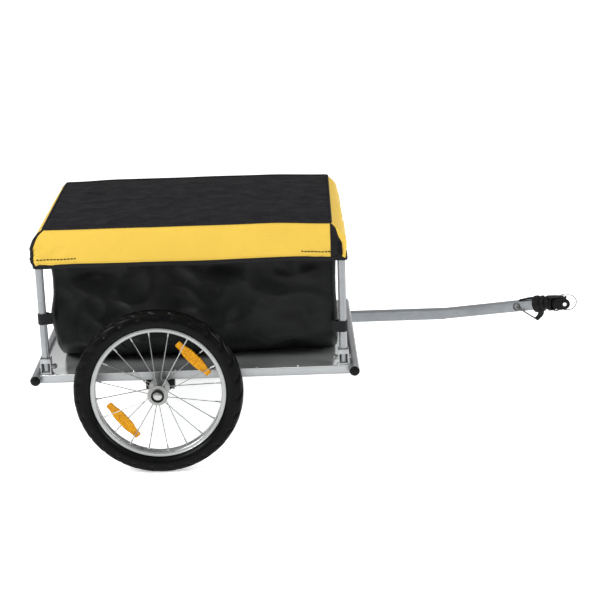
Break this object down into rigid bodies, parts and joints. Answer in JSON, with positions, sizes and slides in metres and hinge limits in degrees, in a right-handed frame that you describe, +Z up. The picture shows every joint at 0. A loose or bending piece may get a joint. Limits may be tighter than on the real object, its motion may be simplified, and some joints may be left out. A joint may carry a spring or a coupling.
{
  "type": "bicycle trailer",
  "caption": "Folding bicycle cargo trailer: tray on spoked wheels, hinged side hoops, fabric bag with fitted cover, swinging tow bar and axle hitch.",
  "frame": {"origin": "on the ground under the middle of the trailer's overall length and width", "axes": "+X forward towards the hitch, +Y to the trailer's left, +Z up"},
  "size_m": [1.372, 0.751, 0.586],
  "materials": {
    "steel": "smooth semi-gloss silver grey",
    "alloy": "satin",
    "bar_steel": "smooth satin grey",
    "black_plastic": "moulded, slightly glossy",
    "black_steel": "black powder coat",
    "rubber": "matte",
    "amber": "prismatic amber",
    "bag_cloth": "coated black nylon",
    "cover_cloth": "coated yellow and black nylon",
    "webbing": "woven"
  },
  "bodies": {
    "tray": {"end_tube_rear": "steel", "end_tube_front": "steel", "end_cap_rear_right": "black_plastic", "end_cap_rear_left": "black_plastic", "end_cap_front_right": "black_plastic", "end_cap_front_left": "black_plastic", "side_rail_right": "steel", "side_rail_left": "steel", "floor_plate": "steel", "hinge_bracket_rear_right": "steel", "hinge_bracket_rear_left": "steel", "hinge_bracket_front_right": "steel", "hinge_bracket_front_left": "steel", "hinge_bolt_rear_right": "alloy", "hinge_bolt_rear_left": "alloy", "hinge_bolt_front_right": "alloy", "hinge_bolt_front_left": "alloy", "axle_beam": "steel", "axle_receiver_right": "black_steel", "axle_receiver_left": "black_steel", "axle_right": "alloy", "axle_left": "alloy", "tow_bar_bracket": "black_steel", "tow_bar_pivot_bolt": "alloy", "bag": "bag_cloth"},
    "cover": {"cover": "cover_cloth"},
    "tow_bar": {"tow_bar": "bar_steel", "tow_bar_stop_pin": "alloy", "safety_ring": "alloy", "snap_hook": "alloy", "safety_strap": "webbing"},
    "coupler": {"coupler_boot": "rubber", "coupler_clevis": "black_plastic", "quick_pin": "alloy"},
    "bail": {"pin_bail": "alloy"},
    "hitch": {"hitch_axle_plate": "black_steel"},
    "hoop_right": {"hoop_right": "steel", "hoop_strap_rear_right": "webbing", "hoop_strap_front_right": "webbing"},
    "wheel_right": {"tyre_right": "rubber", "inner_tube_right": "rubber", "rim_right": "alloy", "hub_right": "alloy", "bearing_outer_right": "alloy", "bearing_inner_right": "alloy", "reflector_a_right": "amber", "reflector_b_right": "amber"},
    "button_right": {"release_button_right": "alloy"},
    "hoop_left": {"hoop_left": "steel", "hoop_strap_rear_left": "webbing", "hoop_strap_front_left": "webbing"},
    "wheel_left": {"tyre_left": "rubber", "inner_tube_left": "rubber", "rim_left": "alloy", "hub_left": "alloy", "bearing_outer_left": "alloy", "bearing_inner_left": "alloy", "reflector_a_left": "amber", "reflector_b_left": "amber"},
    "button_left": {"release_button_left": "alloy"}
  },
  "joints": [
    {"name": "wheel_right_spin", "type": "hinge", "parent": "tray", "child": "wheel_right", "pos_m": [-0.377, -0.337, 0.2], "axis": [0, 1, 0], "continuous": true},
    {"name": "wheel_left_spin", "type": "hinge", "parent": "tray", "child": "wheel_left", "pos_m": [-0.377, 0.337, 0.2], "axis": [0, 1, 0], "continuous": true},
    {"name": "hoop_left_fold", "type": "hinge", "parent": "tray", "child": "hoop_left", "pos_m": [-0.293, 0.258, 0.2445], "axis": [1, 0, 0], "range_deg": [0, 90], "deforming": ["bag", "cover"]},
    {"name": "hoop_right_fold", "type": "hinge", "parent": "tray", "child": "hoop_right", "pos_m": [-0.293, -0.258, 0.2445], "axis": [-1, 0, 0], "range_deg": [0, 80]},
    {"name": "cover_lift", "type": "slide", "parent": "tray", "child": "cover", "axis": [0, 0, 1], "range_m": [0, 0.3]},
    {"name": "button_right_press", "type": "slide", "parent": "tray", "child": "button_right", "axis": [0, 1, 0], "range_m": [0, 0.003], "stiffness_N_per_m": 600, "springref_m": -0.003},
    {"name": "button_left_press", "type": "slide", "parent": "tray", "child": "button_left", "axis": [0, -1, 0], "range_m": [0, 0.003], "stiffness_N_per_m": 600, "springref_m": -0.003},
    {"name": "tow_bar_swing", "type": "hinge", "parent": "tray", "child": "tow_bar", "pos_m": [0.033, 0.235, 0.1915], "axis": [0, 0, 1], "range_deg": [-65, 0]},
    {"name": "coupler_roll", "type": "hinge", "parent": "tow_bar", "child": "coupler", "pos_m": [0.579, 0.105, 0.2495], "axis": [0.8472, -0.4852, 0.2165], "range_deg": [-45, 45], "stiffness_Nm_per_rad": 1.5},
    {"name": "hitch_turn", "type": "hinge", "parent": "coupler", "child": "hitch", "pos_m": [0.649, 0.088, 0.2565], "axis": [0, 0, 1], "range_deg": [-15, 65]},
    {"name": "bail_open", "type": "hinge", "parent": "coupler", "child": "bail", "pos_m": [0.649, 0.088, 0.2766], "axis": [0, -1, 0], "range_deg": [0, 110]}
  ],
  "couplings": [
    {"joint": "hoop_right_fold", "follows": "hoop_left_fold", "ratio": 0.8888}
  ]
}
